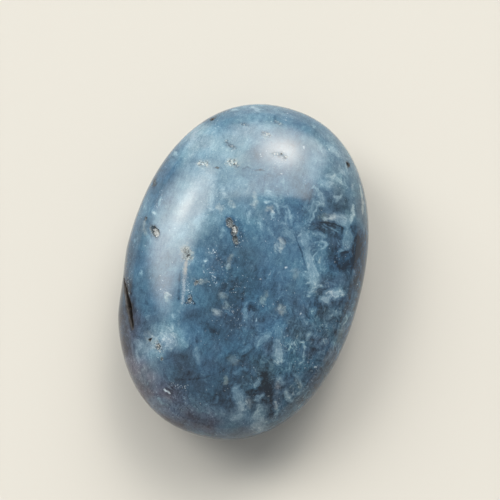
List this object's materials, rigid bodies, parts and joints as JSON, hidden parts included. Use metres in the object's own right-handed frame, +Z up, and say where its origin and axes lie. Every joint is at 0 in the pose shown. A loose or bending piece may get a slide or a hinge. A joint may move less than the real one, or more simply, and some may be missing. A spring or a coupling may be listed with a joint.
{
  "type": "palm stone",
  "caption": "Oval polished agate pebble, pillow-shaped in section, with crystal-lined hollows and an open crevice; held in the palm or laid flat as an ornament.",
  "frame": {"origin": "middle of the small flat spot that the stone lies on, at the bottom centre of its bounding box", "axes": "+Z up out of the face with the hollows and plumes, +Y along the stone's length towards its pale end, +X across it towards the dark plumed side"},
  "size_m": [0.048, 0.069, 0.024],
  "materials": {
    "stone": "polished"
  },
  "bodies": {
    "root": {"stone": "stone"}
  },
  "joints": []
}
